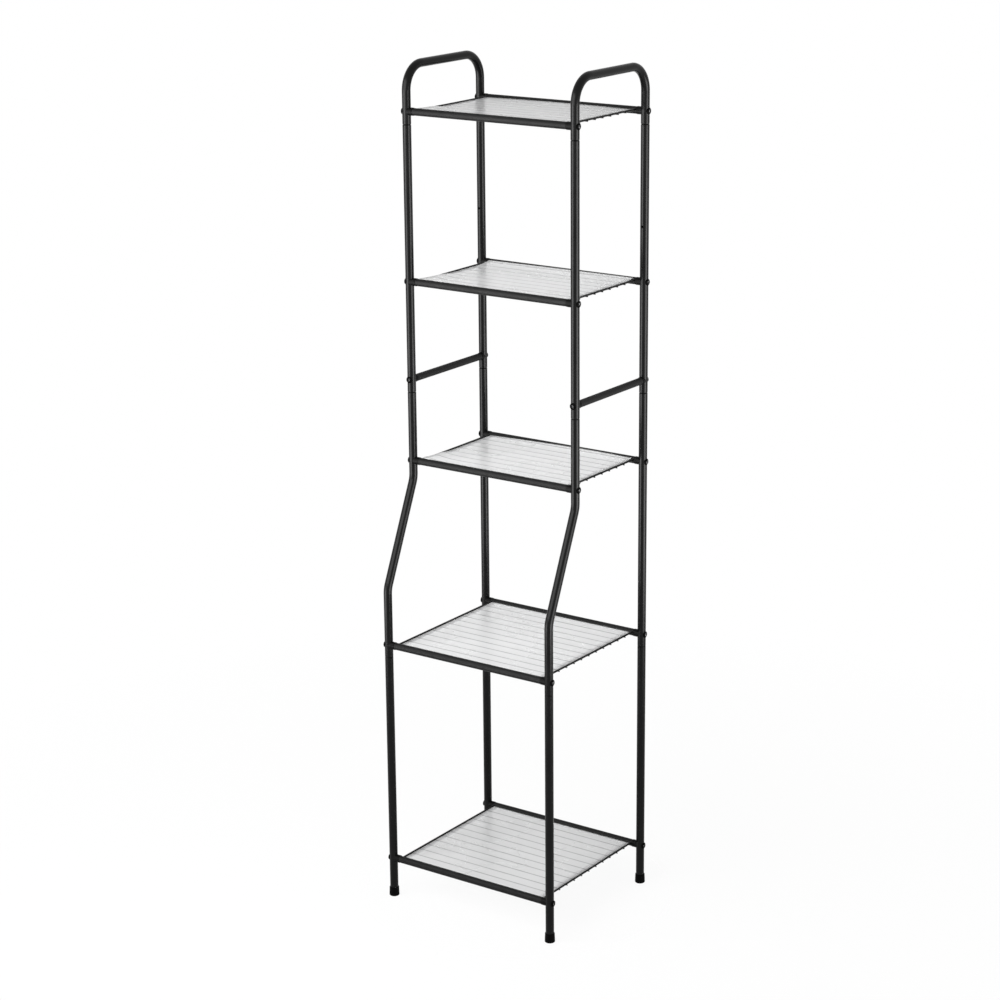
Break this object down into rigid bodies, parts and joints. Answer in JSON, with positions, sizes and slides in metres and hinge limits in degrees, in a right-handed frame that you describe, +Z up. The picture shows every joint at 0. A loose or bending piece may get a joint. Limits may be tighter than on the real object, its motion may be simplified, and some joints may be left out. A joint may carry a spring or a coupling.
{
  "type": "bathroom shelving unit",
  "caption": "Free-standing narrow bathroom shelving unit of black steel tube, its lower shelves deeper than the upper ones, with wire decks, frosted liners and looped top handles.",
  "frame": {"origin": "middle of the footprint, on the floor under the foot caps", "axes": "+X to the right seen from the front, +Y from front to rear, +Z up"},
  "size_m": [0.3852, 0.3358, 1.603],
  "materials": {
    "black_powder_coat": "semi-gloss black powder coat on steel tube",
    "black_wire_coat": "semi-gloss black powder coat on welded steel wire",
    "black_plastic": "moulded black plastic, fine grain",
    "black_screw": "black plated steel, slightly glossy",
    "frosted_liner": "translucent frosted polypropylene sheet"
  },
  "bodies": {
    "root": {"top_handle_left": "black_powder_coat", "side_crossbar_left": "black_powder_coat", "upper_post_front_left": "black_powder_coat", "lower_post_front_left": "black_powder_coat", "foot_cap_front_left": "black_plastic", "upper_post_rear_left": "black_powder_coat", "lower_post_rear_left": "black_powder_coat", "foot_cap_rear_left": "black_plastic", "bent_middle_post_front_left": "black_powder_coat", "middle_post_rear_left": "black_powder_coat", "top_handle_right": "black_powder_coat", "side_crossbar_right": "black_powder_coat", "upper_post_front_right": "black_powder_coat", "lower_post_front_right": "black_powder_coat", "foot_cap_front_right": "black_plastic", "upper_post_rear_right": "black_powder_coat", "lower_post_rear_right": "black_powder_coat", "foot_cap_rear_right": "black_plastic", "bent_middle_post_front_right": "black_powder_coat", "middle_post_rear_right": "black_powder_coat", "shelf_1_front_rail": "black_powder_coat", "shelf_1_rear_rail": "black_powder_coat", "shelf_1_wire_deck": "black_wire_coat", "shelf_1_liner": "frosted_liner", "shelf_1_saddle_plugs": "black_plastic", "shelf_1_screws": "black_screw", "shelf_2_front_rail": "black_powder_coat", "shelf_2_rear_rail": "black_powder_coat", "shelf_2_wire_deck": "black_wire_coat", "shelf_2_liner": "frosted_liner", "shelf_2_saddle_plugs": "black_plastic", "shelf_2_screws": "black_screw", "shelf_3_front_rail": "black_powder_coat", "shelf_3_rear_rail": "black_powder_coat", "shelf_3_wire_deck": "black_wire_coat", "shelf_3_liner": "frosted_liner", "shelf_3_saddle_plugs": "black_plastic", "shelf_3_screws": "black_screw", "shelf_4_front_rail": "black_powder_coat", "shelf_4_rear_rail": "black_powder_coat", "shelf_4_wire_deck": "black_wire_coat", "shelf_4_liner": "frosted_liner", "shelf_4_saddle_plugs": "black_plastic", "shelf_4_screws": "black_screw", "shelf_5_front_rail": "black_powder_coat", "shelf_5_rear_rail": "black_powder_coat", "shelf_5_wire_deck": "black_wire_coat", "shelf_5_liner": "frosted_liner", "shelf_5_saddle_plugs": "black_plastic", "shelf_5_screws": "black_screw", "crossbar_saddle_plugs": "black_plastic", "crossbar_screws": "black_screw"}
  },
  "joints": []
}
